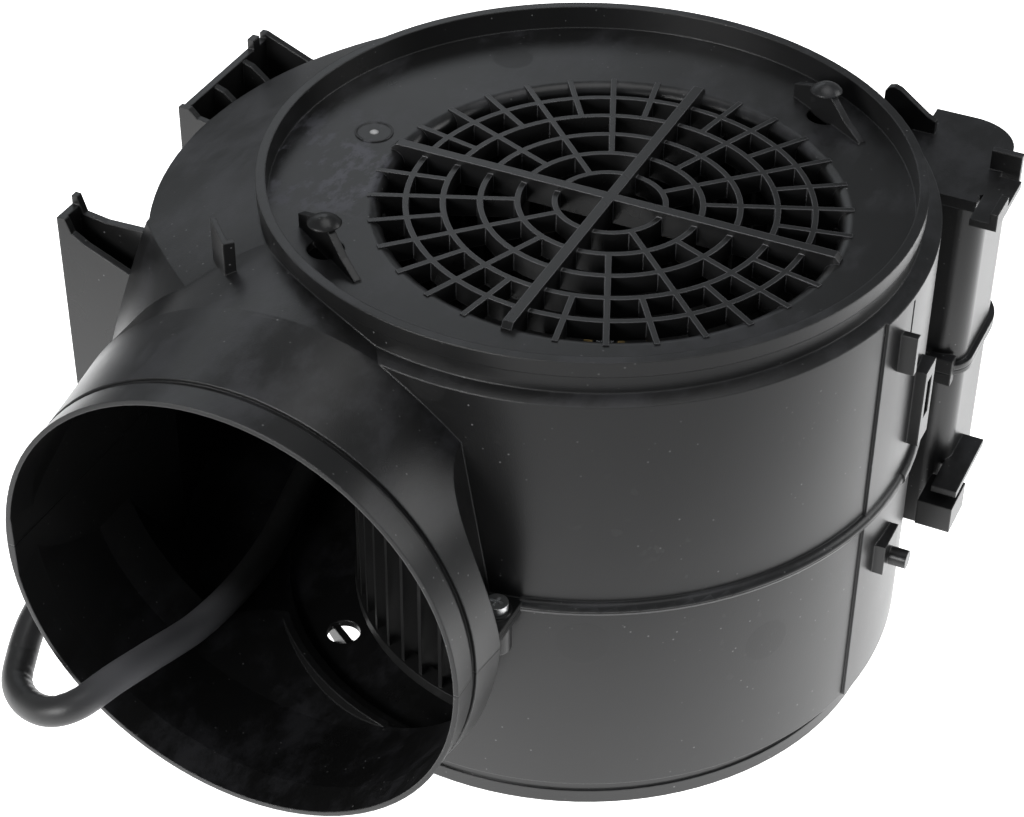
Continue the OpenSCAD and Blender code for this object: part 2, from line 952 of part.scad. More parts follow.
module pan_head_screw(d, head_d, head_h, length) {
    recess = head_d * 0.6;
    recess_w = 1;
    translate([0, 0, -length])
        cylinder(d = d, h = length + eps);
    difference() {
        cylinder(d = head_d, h = head_h);
        for (a = [0, 90])
            rotate(a)
                translate([-recess / 2, -recess_w / 2, head_h - recess_w])
                    cube([recess, recess_w, 2 * recess_w]);
    }
}

module seam_screws() {
    color(metal)
        for (p = seam_screws_at)
            translate([p.x, p.y, half_h + p.z])
                pan_head_screw(screw_d, screw_head_d, screw_head_h, p.z + boss_h - 1);
}

// One curved blade in plan, from the inner to the outer radius of the blade ring
module blade_plan() {
    r_in = blade_ring_d / 2;
    r_out = impeller_d / 2 - blade_inset;
    mid = (r_in + r_out) / 2;
    intersection() {
        difference() {
            circle(r_out);
            circle(r_in);
        }
        difference() {
            translate([mid, blade_curve])
                circle(blade_curve + blade_t / 2);
            translate([mid, blade_curve])
                circle(blade_curve - blade_t / 2);
        }
        translate([r_in - 1, -blade_curve])
            square([r_out - r_in + 2, 2 * blade_curve]);
    }
}

module impeller() {
    r_in = blade_ring_d / 2;
    r_out = impeller_d / 2;
    disc_r = r_out - blade_inset / 2;
    rim_in = 6;
    dish_out = r_in - rim_in;
    dish_in = dish_out - disc_rise;
    color(plastic)
        translate([rotor_x, rotor_y, 0]) {
            rotate_extrude()
                polygon([
                    [bush_d / 2, hub_z], [hub_d / 2, hub_z], [hub_d / 2, disc_z],
                    [dish_in, disc_z], [dish_out, half_h], [disc_r, half_h],
                    [disc_r, half_h + disc_t], [dish_out + 1, half_h + disc_t],
                    [dish_in + 1, disc_z + disc_t], [hub_d / 2, disc_z + disc_t],
                    [hub_d / 2 - 2, hub_top], [bush_d / 2, hub_top],
                ]);
            for (i = [0 : blade_count - 1])
                rotate(i * 360 / blade_count)
                    translate([0, 0, impeller_z + blade_inset])
                        linear_extrude(impeller_h - 2 * blade_inset)
                            blade_plan();
            for (z = [impeller_z, impeller_z + impeller_h - end_ring_h])
                translate([0, 0, z])
                    ring(r_out, r_out - end_ring_w, end_ring_h);
        }
}

module hub_bush() {
    color(brass)
        translate([rotor_x, rotor_y, hub_z])
            ring(bush_d / 2, shaft_r, bush_h);
}

module hub_nut() {
    color(brass)
        translate([rotor_x, rotor_y, hub_top])
            difference() {
                cylinder(d = nut_af / cos(30), h = nut_h, $fn = 6);
                translate([0, 0, -1])
                    cylinder(r = shaft_r, h = nut_h + 2);
            }
}

module motor_shaft() {
    color(steel)
        translate([rotor_x, rotor_y, shaft_z]) {
            cylinder(r = shaft_r, h = shaft_top - shaft_z - 1);
            translate([0, 0, shaft_top - shaft_z - 1])
                cylinder(r1 = shaft_r, r2 = shaft_r - 1, h = 1);
        }
}

module rotor_core() {
    color(steel)
        translate([rotor_x, rotor_y, stack_z])
            ring(rotor_r, shaft_r, stack_h);
}

module rotor_cage() {
    cage_step = 1;
    cage_w = 8;
    color(metal)
        translate([rotor_x, rotor_y, 0])
            for (z = [stack_z - cage_h, stack_top])
                translate([0, 0, z])
                    ring(rotor_r - cage_step, rotor_r - cage_step - cage_w, cage_h);
}

module thrust_washers() {
    washer_t = 1;
    washer_w = 3;
    gap = 0.2;
    color([0.35, 0.2, 0.12])
        translate([rotor_x, rotor_y, 0])
            for (z = [lower_bearing_z + bearing_h + gap, upper_bearing_z - gap - washer_t])
                translate([0, 0, z])
                    ring(shaft_r + washer_w, shaft_r, washer_t);
}

module bolt_holes(z, h, r) {
    around_rotor(bolt_angles, bolt_r)
        translate([0, 0, z])
            cylinder(r = r, h = h);
}

module stator_core() {
    slot_depth = 7.5;
    slot_r = bore_r + slot_depth;
    slot_round = 3.4;
    slot_gap = 2;
    color(steel)
        difference() {
            translate([rotor_x, rotor_y, stack_z])
                linear_extrude(stack_h)
                    difference() {
                        circle(stator_d / 2);
                        circle(bore_r);
                        for (i = [0 : slot_count - 1])
                            rotate(i * 360 / slot_count)
                                translate([slot_r, 0])
                                    circle(slot_round);
                        for (i = [0 : slot_count - 1])
                            rotate(i * 360 / slot_count)
                                translate([bore_r - 1, -slot_gap / 2])
                                    square([slot_r - bore_r, slot_gap]);
                    }
            bolt_holes(stack_z - 1, stack_h + 2, bolt_d / 2 + bolt_clear);
        }
}

module slot_insulators() {
    cap_over = 0.3;
    color([0.85, 0.83, 0.74])
        translate([rotor_x, rotor_y, 0])
            for (z = [stack_z - cap_t, stack_top])
                translate([0, 0, z])
                    ring(winding_r + cap_over, bore_r + 1, cap_t);
}

// End turns of the coils, a rounded band over each face of the core
module stator_windings() {
    tooth_tip = 2.5;
    r_in = bore_r + tooth_tip;
    r_out = winding_r;
    round_r = 3;
    color(copper)
        translate([rotor_x, rotor_y, half_h])
            for (z = [stack_top + cap_t - half_h, stack_z - cap_t - winding_h - half_h])
                translate([0, 0, z])
                    rotate_extrude()
                        union() {
                            translate([r_in, round_r])
                                square([r_out - r_in, winding_h - 2 * round_r]);
                            translate([r_in + round_r, 0])
                                square([r_out - r_in - 2 * round_r, winding_h]);
                            for (x = [r_in + round_r, r_out - round_r])
                                for (y = [round_r, winding_h - round_r])
                                    translate([x, y])
                                        circle(round_r);
                        }
}

// End shield as a cup with vents; its open rim meets the stator core
module end_shield_form(h, tube_h) {
    r_out = shield_d / 2;
    tube_r = bearing_d / 2 + bearing_wall;
    boss_start = shield_t * 0.8;
    chamfer = 4;
    vent = [10, 6];
    difference() {
        union() {
            rotate_extrude()
                polygon([
                    [bearing_d / 2, 0], [r_out - chamfer, 0], [r_out, chamfer], [r_out, h],
                    [r_out - shield_t, h], [r_out - shield_t, shield_t],
                    [tube_r, shield_t], [tube_r, tube_h], [bearing_d / 2, tube_h],
                ]);
            for (a = bolt_angles)
                rotate(a)
                    translate([bolt_r, 0, boss_start])
                        cylinder(d = bolt_d + 2 * boss_wall, h = h - boss_start);
        }
        for (a = [22.5 : 45 : 360])
            rotate(a)
                translate([(r_out - vent.x) / 2, -vent.y / 2, -1])
                    cube([vent.x, vent.y, shield_t + 2]);
        for (a = bolt_angles)
            rotate(a)
                translate([bolt_r, 0, -1])
                    cylinder(d = bolt_d + 2 * bolt_clear, h = h + 2);
    }
}

module upper_end_shield() {
    color(metal)
        translate([rotor_x, rotor_y, upper_shield_top])
            mirror([0, 0, 1])
                end_shield_form(upper_shield_h, bearing_h);
}

module lower_end_shield() {
    color(metal)
        difference() {
            translate([rotor_x, rotor_y, shield_z])
                end_shield_form(lower_shield_h, bearing_h + bearing_step);
            around_rotor(mount_angles, mount_r)
                translate([0, 0, shield_z - 1])
                    cylinder(d = bolt_d, h = shield_t + 2);
        }
}

module bearing_bush(z) {
    color(brass)
        translate([rotor_x, rotor_y, z])
            ring(bearing_d / 2, shaft_r + bearing_clear, bearing_h);
}

module upper_bearing() {
    bearing_bush(upper_bearing_z);
}

module lower_bearing() {
    bearing_bush(lower_bearing_z);
}

module motor_bolts() {
    color(metal)
        around_rotor(bolt_angles, bolt_r)
            translate([0, 0, upper_shield_top])
                pan_head_screw(bolt_d, bolt_head_d, bolt_head_h, upper_shield_top - shield_z + bolt_tail);
}

module motor_nuts() {
    color(metal)
        around_rotor(bolt_angles, bolt_r)
            translate([0, 0, shield_z - bolt_nut_h])
                difference() {
                    cylinder(d = bolt_nut_d, h = bolt_nut_h, $fn = 6);
                    translate([0, 0, -1])
                        cylinder(d = bolt_d, h = bolt_nut_h + 2);
                }
}

module rubber_mounts() {
    waist_r = 2;
    waist_out = 0.6;
    color([0.15, 0.15, 0.15])
        around_rotor(mount_angles, mount_r)
            translate([0, 0, mount_z])
                rotate_extrude()
                    difference() {
                        translate([bolt_d / 2 + bolt_clear, 0])
                            square([mount_d / 2 - bolt_d / 2 - bolt_clear, mount_h]);
                        translate([mount_d / 2 + waist_out, mount_h / 2])
                            circle(waist_r);
                    }
}

module mount_screws() {
    color(metal)
        around_rotor(mount_angles, mount_r)
            translate([0, 0, plate_drop])
                mirror([0, 0, 1])
                    pan_head_screw(bolt_d, bolt_head_d, bolt_head_h, rib_h + mount_h + shield_t);
}

module run_capacitor() {
    blade_w = 6.3;
    blade_thick = 0.8;
    blade_len = 9;
    tab_pitch = 10;
    color([0.8, 0.8, 0.78])
        translate([capacitor_at.x, capacitor_at.y, capacitor_z]) {
            cylinder(d = capacitor_d, h = capacitor_h);
            for (x = [-tab_pitch / 2, tab_pitch / 2])
                translate([x - blade_w / 2, -blade_thick / 2, capacitor_h - eps])
                    cube([blade_w, blade_thick, blade_len]);
        }
}

module terminal_block() {
    color([0.9, 0.9, 0.86])
        translate([terminal_at.x, terminal_at.y, terminal_z])
            difference() {
                cube([terminal_d, terminal_w, terminal_h]);
                for (i = [1 : 3])
                    translate([terminal_d / 2, terminal_w * i / 4, terminal_h / 2])
                        cylinder(d = terminal_hole_d, h = terminal_h);
            }
}

module cable_grommet() {
    color([0.06, 0.06, 0.06])
        translate(grommet_at)
            rotate([90, 0, 0])
                translate([0, 0, -bracket_t - grommet_flange])
                    rotate_extrude()
                        polygon([
                            [lead_d / 2 - grommet_bite, 0], [grommet_d / 2, 0],
                            [grommet_d / 2, grommet_flange],
                            [lead_d / 2 + grommet_neck, grommet_flange],
                            [lead_d / 2 + grommet_neck, grommet_flange + bracket_t],
                            [grommet_d / 2, grommet_flange + bracket_t],
                            [grommet_d / 2, 2 * grommet_flange + bracket_t],
                            [lead_d / 2 - grommet_bite, 2 * grommet_flange + bracket_t],
                        ]);
}

function unit(v) = v / norm(v);

// Direction of the route at point i
function tangent(path, i) =
    unit(path[min(i + 1, len(path) - 1)] - path[max(i - 1, 0)]);

// Ring of points around the route at point i
function tube_ring(path, i, r, n) =
    let (t = tangent(path, i))
    let (u = unit(cross(t, [0, 0, 1])))
    let (v = cross(u, t))
    [for (k = [0 : n - 1]) path[i] + r * (cos(360 * k / n) * u + sin(360 * k / n) * v)];

module tube(path, r, n) {
    count = len(path);
    points = [for (i = [0 : count - 1]) each tube_ring(path, i, r, n)];
    sides = [
        for (i = [0 : count - 2])
            for (k = [0 : n - 1])
                [i * n + k, i * n + (k + 1) % n, (i + 1) * n + (k + 1) % n, (i + 1) * n + k]
    ];
    start_cap = [[for (k = [n - 1 : -1 : 0]) k]];
    end_cap = [[for (k = [0 : n - 1]) (count - 1) * n + k]];
    polyhedron(points, concat(sides, start_cap, end_cap));
}

module lead_sleeve() {
    color([0.12, 0.12, 0.13])
        tube(lead_route, lead_d / 2, lead_sides);
}

module lead_connector() {
    end = lead_route[len(lead_route) - 1];
    before = lead_route[len(lead_route) - 2];
    turn = atan2(end.y - before.y, end.x - before.x);
    color(plastic)
        translate(end)
            rotate(turn)
                difference() {
                    translate([0, -connector_w / 2, -connector_h / 2])
                        cube([connector_len, connector_w, connector_h]);
                    for (i = [-1 : 1])
                        translate([connector_len - contact_depth, i * contact_pitch, 0])
                            translate([0, -contact_w / 2, -contact_w / 2])
                                cube([contact_depth + 1, contact_w, contact_w]);
                }
}

upper_housing();
lower_housing();
upper_inlet_guard();
lower_motor_spider();
seam_screws();
impeller();
hub_bush();
hub_nut();
motor_shaft();
rotor_core();
rotor_cage();
thrust_washers();
stator_core();
slot_insulators();
stator_windings();
upper_end_shield();
lower_end_shield();
upper_bearing();
lower_bearing();
motor_bolts();
motor_nuts();
rubber_mounts();
mount_screws();
run_capacitor();
terminal_block();
cable_grommet();
lead_sleeve();
lead_connector();
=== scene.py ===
"""Range hood blower: finishes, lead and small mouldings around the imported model."""
import functools
import math

import bpy
from mathutils import Matrix, Vector


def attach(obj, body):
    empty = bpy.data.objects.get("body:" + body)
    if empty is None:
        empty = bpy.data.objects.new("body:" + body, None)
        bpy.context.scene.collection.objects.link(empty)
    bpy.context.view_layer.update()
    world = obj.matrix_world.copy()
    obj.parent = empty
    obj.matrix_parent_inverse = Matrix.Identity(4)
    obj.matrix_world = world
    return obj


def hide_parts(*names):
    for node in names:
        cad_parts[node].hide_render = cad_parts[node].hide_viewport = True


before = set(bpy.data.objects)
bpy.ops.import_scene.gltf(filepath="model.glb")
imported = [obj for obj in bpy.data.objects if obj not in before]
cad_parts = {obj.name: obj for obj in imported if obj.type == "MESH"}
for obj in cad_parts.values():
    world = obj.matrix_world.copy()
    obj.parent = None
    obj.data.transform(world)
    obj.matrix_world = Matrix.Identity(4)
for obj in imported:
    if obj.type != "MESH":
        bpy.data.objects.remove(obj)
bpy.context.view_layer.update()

MM = 0.001
FULL_TURN = 2 * math.pi
COOL_WHITE = (0.92, 0.96, 1)

# Camera, fitted to the photograph; azimuth 0 looks along +Y
VIEW_AZIMUTH = math.radians(24.93)
VIEW_ELEVATION = math.radians(37.64)
VIEW_ROLL = math.radians(0.52)
CAMERA_AT = Vector((250.44, -595.16, 575.39)) * MM
PHOTO_WIDTH_PX = 1024
FOCAL_PX = 2464.9
SENSOR_WIDTH = 36.0

# Floor, in metres, with an oval pool of light painted on it as glow: the middle of what the camera
# sees, where the pool is full and where it has faded, and its depth over its width
FLOOR_SIZE = 6
POOL_X = -0.104
POOL_Y = 0.128
POOL_FULL = 0.24
POOL_FADED = 0.46
POOL_RATIO = 0.72
POOL_STRENGTH = 1.7

# Places on the blower, in metres
ROTOR_X = 9.2 * MM
ROTOR_Y = -6.3 * MM
SEAM_Z = 86.5 * MM
PLATE_Z = 165 * MM
LOWER_PLATE_Z = 8 * MM

# Gate mark on each plate: a round land with a dish in it, and the nib in the dish
GATE_X = -74.9 * MM
GATE_Y = -1.3 * MM
LAND_R = 6.2 * MM
LAND_H = 0.7 * MM
LAND_RIM = 0.5 * MM
DISH_SLOPE = 0.3 * MM
DISH_DEPTH = 0.28 * MM
DISH_FLOOR = 3.9 * MM
NIB_H = 0.35 * MM
NIB_TAPER = 0.7
NIB_EDGE = 0.3 * MM
NIB_TIP = (0.1 * MM, 0, 0.12 * MM)
MOULDING_SMOOTH = math.radians(35)

# Route of the lead's sleeve, in millimetres, from the grommet into the outlet
LEAD_ROUTE = [
    (-138, -71, 34), (-139, -92, 35), (-138.5, -111, 36), (-136, -128, 35),
    (-133, -140, 31), (-128, -150, 29.5), (-119, -157, 31), (-108.5, -160, 34.5),
    (-100.5, -156, 37.5), (-96, -142, 38), (-93.5, -125, 34.5), (-91.5, -100.5, 28),
    (-91, -74, 25), (-95, -46, 21), (-100, -20, 21), (-104, 8, 24.5),
]
LEAD_D = 10 * MM
LEAD_STEPS = 22
LEAD_SIDES = 40
LEAD_SMOOTH = math.radians(50)
# Its wrinkles, full at this radius of bend: pitch and drift along the lead, depth of the folds and
# of the hollow that they lie in
WRINKLE_BEND_R = 15 * MM
WRINKLE_PITCH = 4.6 * MM
WRINKLE_DRIFT = 9 * MM
FOLD_DEPTH = 0.55 * MM
HOLLOW_DEPTH = 0.25 * MM

# Marks on the finishes, in millimetres: those that the mould leaves on the outside, each with its
# radius, the middle of the handling scuffs on the plate, and the middle of the sleeve's run into
# the mouth, where a painted sheen makes it paler
WITNESS_MARKS = [
    ((43.3, -97.8, 72), 8.5), ((-55.3, 60.9, 165), 7), ((-3, -104, 160), 7),
    ((88, -60, 60), 8), ((-20, 88, 165), 6),
]
WITNESS_EDGE = 0.8
SCUFFS_AT = (-79, -29, 165)
SHEEN_RUN_AT = (-93.5, -121, 37)

# Fine grain of the black mouldings: scale of its noise, and its depth
GRAIN = 2600
GRAIN_DEPTH = 0.05 * MM


def add_camera():
    """Camera at the photograph's place, with its roll and lens."""
    back = Vector((
        math.sin(VIEW_AZIMUTH) * math.cos(VIEW_ELEVATION),
        -math.cos(VIEW_AZIMUTH) * math.cos(VIEW_ELEVATION),
        math.sin(VIEW_ELEVATION),
    ))
    level = Vector((math.cos(VIEW_AZIMUTH), math.sin(VIEW_AZIMUTH), 0))
    upright = back.cross(level)
    right = level * math.cos(VIEW_ROLL) + upright * math.sin(VIEW_ROLL)
    up = upright * math.cos(VIEW_ROLL) - level * math.sin(VIEW_ROLL)
    lens = bpy.data.cameras.new("photo_camera")
    lens.sensor_fit = "HORIZONTAL"
    lens.sensor_width = SENSOR_WIDTH
    lens.lens = FOCAL_PX * SENSOR_WIDTH / PHOTO_WIDTH_PX
    camera = bpy.data.objects.new("photo_camera", lens)
    turn = Matrix((right, up, back)).transposed().to_4x4()
    camera.matrix_world = Matrix.Translation(CAMERA_AT) @ turn
    bpy.context.scene.collection.objects.link(camera)
    bpy.context.scene.camera = camera


# Shader maths

class Value:
    """A shader socket that can be reckoned with; every sum adds the node for it."""

    def __init__(self, finish, socket):
        self.finish = finish
        self.socket = socket

    def sum(self, operation, *terms):
        settings = {"operation": operation}
        return self.finish.node("ShaderNodeMath", settings, dict(enumerate(terms)))

    def __add__(self, other):
        return self.sum("ADD", self, other)

    __radd__ = __add__

    def __sub__(self, other):
        return self.sum("SUBTRACT", self, other)

    def __rsub__(self, other):
        return self.sum("SUBTRACT", other, self)

    def __mul__(self, other):
        return self.sum("MULTIPLY", self, other)

    __rmul__ = __mul__

    def __pow__(self, other):
        return self.sum("POWER", self, other)

    def __abs__(self):
        return self.sum("ABSOLUTE", self)

    def sine(self):
        return self.sum("SINE", self)

    def wave(self, pitch):
        """Wave between 0 and 1 that repeats at a pitch."""
        return (self * (FULL_TURN / pitch)).sine() * 0.5 + 0.5

    def greatest(self, other):
        return self.sum("MAXIMUM", self, other)


class Finish:
    """A node material that is being made, with its Principled shader."""

    def __init__(self, name):
        self.material = bpy.data.materials.new(name)
        self.material.use_nodes = True
        self.tree = self.material.node_tree
        self.shader = self.tree.nodes["Principled BSDF"]
        self.place = self.node("ShaderNodeTexCoord", {}, {}, "Object")

    def node(self, kind, settings, sockets, output=0):
        """One node of any type: its settings first, then the values or links of its sockets."""
        made = self.tree.nodes.new(kind)
        for key, value in settings.items():
            setattr(made, key, value)
        for key, value in sockets.items():
            self.feed(made.inputs[key], value)
        return Value(self, made.outputs[output])

    def feed(self, socket, value):
        if isinstance(value, Value):
            self.tree.links.new(value.socket, socket)
        else:
            socket.default_value = value

    def surface(self, sockets):
        for key, value in sockets.items():
            self.feed(self.shader.inputs[key], value)
        return self.material

    def axis(self, name):
        return self.node("ShaderNodeSeparateXYZ", {}, {0: self.place}, name)

    def stretched(self, scale):
        """Object coordinates with a scale of their own along each axis."""
        return self.node("ShaderNodeMapping", {}, {"Vector": self.place, "Scale": scale})

    def noise(self, scale, detail, coarse=0.5, place=None):
        return self.node("ShaderNodeTexNoise", {}, {
            "Vector": place or self.place,
            "Scale": scale, "Detail": detail, "Roughness": coarse,
        })

    def cells(self, scale):
        sockets = {"Vector": self.place, "Scale": scale}
        return self.node("ShaderNodeTexVoronoi", {}, sockets, "Distance")

    def step(self, value, low, high):
        """Soft step from 0 at low to 1 at high; high may be the lower number."""
        turned = high < low
        return self.node("ShaderNodeMapRange", {"interpolation_type": "SMOOTHSTEP"}, {
            "Value": value, "From Min": min(low, high), "From Max": max(low, high),
            "To Min": 1.0 if turned else 0.0, "To Max": 0.0 if turned else 1.0,
        })

    def blend(self, factor, first, second):
        """Colour between two colours."""
        sockets = {0: factor, 6: first, 7: second}
        return self.node("ShaderNodeMix", {"data_type": "RGBA"}, sockets, 2)

    def between(self, operation, first, second):
        """Number that two vectors give."""
        sockets = {0: first, 1: second}
        return self.node("ShaderNodeVectorMath", {"operation": operation}, sockets, "Value")

    def distance(self, point):
        return self.between("DISTANCE", self.place, point)

    def soft_edges(self, radius):
        """Normal of the surface with its hard edges rounded."""
        return self.node("ShaderNodeBevel", {"samples": 4}, {"Radius": radius})

    def flat_normal(self):
        return self.node("ShaderNodeNewGeometry", {}, {}, "True Normal")

    def edge_mask(self, rounded):
        """1 on edges, where the rounded normal leaves the flat one."""
        return self.step(self.between("DOT_PRODUCT", rounded, self.flat_normal()), 0.985, 0.85)

    def facing_up(self):
        """1 on faces that lie level, 0 on upright ones."""
        upward = self.node("ShaderNodeSeparateXYZ", {}, {0: self.flat_normal()}, "Z")
        return self.step(upward, 0.3, 0.8)

    def relief(self, height, depth, under, strength):
        """Bump of a given depth in metres, on top of another normal if there is one."""
        sockets = {"Height": height, "Distance": depth, "Strength": strength}
        if under:
            sockets["Normal"] = under
        return self.node("ShaderNodeBump", {}, sockets)


def grey(level, blue=0.0):
    return (level, level, level * (1 + blue), 1)


def metres(point):
    return [v * MM for v in point]


def housing_plastic():
    """Satin black moulding: grain, flow and witness marks, painted highlights on edges, a painted
    bluish sheen on level faces, scuffs, dust, parting line.
    """
    f = Finish("housing_plastic")
    rounded = f.soft_edges(0.7 * MM)
    edge_highlight = f.edge_mask(rounded)
    x, z = f.axis("X"), f.axis("Z")
    cloud = f.noise(22, 3)
    flow = f.noise(9, 4, 0.6, f.stretched((1, 1, 0.35)))
    grain = f.noise(GRAIN, 1)
    left_of_guard = f.step(x, -50 * MM, -64 * MM)
    on_plate = f.step(abs(z - PLATE_Z), 0.8 * MM, 0.4 * MM) * left_of_guard
    handled = f.step(f.distance(metres(SCUFFS_AT)), 46 * MM, 14 * MM)
    streaks = f.noise(190, 5, 0.7, f.stretched((1, 0.5, 1)))
    rubbed = f.step(streaks + 0.45 * f.noise(34, 2), 0.70, 0.84)
    scuff = on_plate * rubbed * handled
    scratch = f.step(f.noise(420, 2, 0.4, f.stretched((0.06, 1, 0.6))), 0.66, 0.72)
    scratch = scratch * f.step(cloud, 0.5, 0.7)
    dust = f.step(f.cells(260), 0.11, 0.03) * f.step(f.noise(34, 1), 0.42, 0.62)
    # Painted sheen: patches on level faces made lighter and bluer; the same patches are also a
    # little rougher.
    level_sheen = f.step(f.noise(48, 6, 0.7, f.stretched((1, 0.55, 1))), 0.44, 0.66)
    level_sheen = f.facing_up() * level_sheen
    parting = f.step(abs(z - SEAM_Z), 0.35 * MM, 0.12 * MM)
    broken = f.step(f.distance((GATE_X, GATE_Y, PLATE_Z)), 1.7 * MM, 1.1 * MM)
    mark = functools.reduce(Value.greatest, [
        f.step(f.distance(metres(at)), radius * MM, (radius - WITNESS_EDGE) * MM)
        for at, radius in WITNESS_MARKS
    ])
    colour = f.blend(f.step(flow, 0.35, 0.7), grey(0.0085), grey(0.0125, 0.03))
    # Painted highlight: edges lightened towards grey.
    colour = f.blend(0.5 * edge_highlight, colour, grey(0.06))
    # Painted bluish sheen on level faces.
    colour = f.blend(0.28 * level_sheen, colour, grey(0.075, 0.12))
    colour = f.blend(0.5 * scuff, colour, grey(0.15, 0.18))
    colour = f.blend(0.16 * scratch, colour, grey(0.08))
    colour = f.blend(0.6 * dust, colour, grey(0.24))
    colour = f.blend(0.8 * parting, colour, grey(0.002))
    colour = f.blend(broken, colour, grey(0.5))
    waves = f.relief(f.noise(30, 2), 0.35 * MM, rounded, 0.35)
    return f.surface({
        "Base Color": colour,
        "Roughness": 0.22 + 0.10 * cloud + 0.05 * flow + 0.16 * scuff + 0.08 * mark + 0.06 * level_sheen,
        "Normal": f.relief(grain - 1.4 * parting + 0.5 * mark, GRAIN_DEPTH, waves, 0.6),
        "Specular IOR Level": 0.5,
    })


def guard_plastic():
    """The same moulding on the thin ribs, with a painted highlight along their edges."""
    f = Finish("guard_plastic")
    rounded = f.soft_edges(0.5 * MM)
    edge_highlight = f.edge_mask(rounded)
    cloud = f.noise(40, 3)
    colour = f.blend(f.step(cloud, 0.3, 0.7), grey(0.0085), grey(0.013, 0.03))
    # Painted highlight: rib edges lightened towards pale grey.
    colour = f.blend(0.9 * edge_highlight, colour, grey(0.2, 0.05))
    return f.surface({
        "Base Color": colour,
        "Roughness": 0.22 + 0.12 * cloud,
        "Normal": f.relief(f.noise(GRAIN, 1), GRAIN_DEPTH, rounded, 0.6),
    })


def impeller_plastic():
    """Matt black glass-filled moulding with a fine flow grain and a little dust on the blades."""
    f = Finish("impeller_plastic")
    rounded = f.soft_edges(0.4 * MM)
    cloud = f.noise(60, 3)
    fibre = f.noise(900, 3, 0.6, f.stretched((1, 1, 0.15)))
    dust = f.step(f.noise(130, 4, 0.7), 0.56, 0.8)
    colour = f.blend(cloud, grey(0.007), grey(0.013))
    colour = f.blend(0.35 * dust, colour, grey(0.05))
    return f.surface({
        "Base Color": colour,
        "Roughness": 0.44 + 0.12 * cloud + 0.1 * dust,
        "Normal": f.relief(fibre, 0.06 * MM, rounded, 0.5),
    })


def zinc_steel():
    """Bright zinc plate with a faint spangle and rubbed edges."""
    f = Finish("zinc_steel")
    rounded = f.soft_edges(0.25 * MM)
    spangle = f.cells(700)
    cloud = f.noise(180, 3)
    colour = f.blend(cloud, (0.62, 0.63, 0.65, 1), (0.80, 0.80, 0.79, 1))
    return f.surface({
        "Base Color": colour,
        "Metallic": 1.0,
        "Roughness": 0.24 + 0.14 * spangle + 0.1 * cloud,
        "Normal": f.relief(spangle, 0.02 * MM, rounded, 0.4),
    })


def turned_metal(name, dark, light, rough, pitch):
    """Metal from the lathe: fine rings along its axis and a slight tarnish."""
    f = Finish(name)
    rounded = f.soft_edges(0.25 * MM)
    cloud = f.noise(150, 3)
    rings = f.axis("Z").wave(pitch)
    return f.surface({
        "Base Color": f.blend(cloud, dark, light),
        "Metallic": 1.0,
        "Roughness": rough + 0.14 * cloud + 0.04 * rings,
        "Normal": f.relief(rings, 0.015 * MM, rounded, 0.5),
    })


def lamination_steel():
    """Stack of thin sheets: dark gaps between them and a trace of rust."""
    f = Finish("lamination_steel")
    sheet = f.axis("Z").wave(0.8 * MM)
    cloud = f.noise(90, 4, 0.6)
    rust = f.step(f.noise(320, 4, 0.7), 0.58, 0.74)
    gap = f.step(sheet, 0.25, 0.02)
    colour = f.blend(cloud, (0.20, 0.20, 0.21, 1), (0.34, 0.34, 0.35, 1))
    colour = f.blend(0.45 * rust, colour, (0.17, 0.08, 0.04, 1))
    colour = f.blend(0.7 * gap, colour, grey(0.03))
    return f.surface({
        "Base Color": colour,
        "Metallic": 0.85 - 0.5 * rust,
        "Roughness": 0.38 + 0.25 * rust + 0.1 * cloud,
        "Normal": f.relief(sheet, 0.12 * MM, None, 0.6),
    })


def cast_aluminium():
    """Die-cast metal: soft orange-peel skin, grey bloom in places."""
    f = Finish("cast_aluminium")
    rounded = f.soft_edges(0.5 * MM)
    cloud = f.noise(70, 4, 0.6)
    skin = f.noise(520, 2)
    return f.surface({
        "Base Color": f.blend(cloud, (0.42, 0.42, 0.43, 1), (0.62, 0.62, 0.62, 1)),
        "Metallic": 0.9,
        "Roughness": 0.4 + 0.2 * cloud,
        "Normal": f.relief(skin, 0.12 * MM, rounded, 0.6),
    })


def winding_copper():
    """Enamelled wire: strands round the rotor's axis, bound into groups."""
    f = Finish("winding_copper")
    x, y, z = f.axis("X") - ROTOR_X, f.axis("Y") - ROTOR_Y, f.axis("Z")
    radius = (x * x + y * y) ** 0.5
    angle = f.node("ShaderNodeMath", {"operation": "ARCTAN2"}, {0: y, 1: x})
    wander = 1.2 * MM * f.noise(120, 2)
    strand = (radius + 0.6 * z + wander).wave(0.75 * MM)
    group = f.step(abs((angle * 8).sine()), 0.14, 0.02)
    cloud = f.noise(60, 3)
    colour = f.blend(cloud, (0.36, 0.13, 0.045, 1), (0.56, 0.24, 0.09, 1))
    colour = f.blend(0.55 * (1 - strand), colour, (0.10, 0.03, 0.012, 1))
    colour = f.blend(0.7 * group, colour, (0.70, 0.66, 0.55, 1))
    return f.surface({
        "Base Color": colour,
        "Metallic": 0.7 - 0.7 * group,
        "Roughness": 0.28 + 0.3 * group + 0.1 * cloud,
        "Normal": f.relief(strand, 0.3 * MM, None, 0.8),
        "Coat Weight": 0.35 - 0.35 * group,
    })


def dull_moulding(name, dark, light, rough, grain=1400.0, depth=0.06):
    """Plain moulded or cut material with a cloudy tint, a fine grain and softened edges."""
    f = Finish(name)
    rounded = f.soft_edges(0.35 * MM)
    cloud = f.noise(85, 4, 0.6)
    speck = f.step(f.noise(760, 2), 0.62, 0.74)
    darker = tuple(0.6 * v for v in dark[:3]) + (1,)
    colour = f.blend(cloud, dark, light)
    colour = f.blend(0.25 * speck, colour, darker)
    return f.surface({
        "Base Color": colour,
        "Roughness": rough + 0.12 * cloud,
        "Normal": f.relief(f.noise(grain, 2), depth * MM, rounded, 0.6),
    })


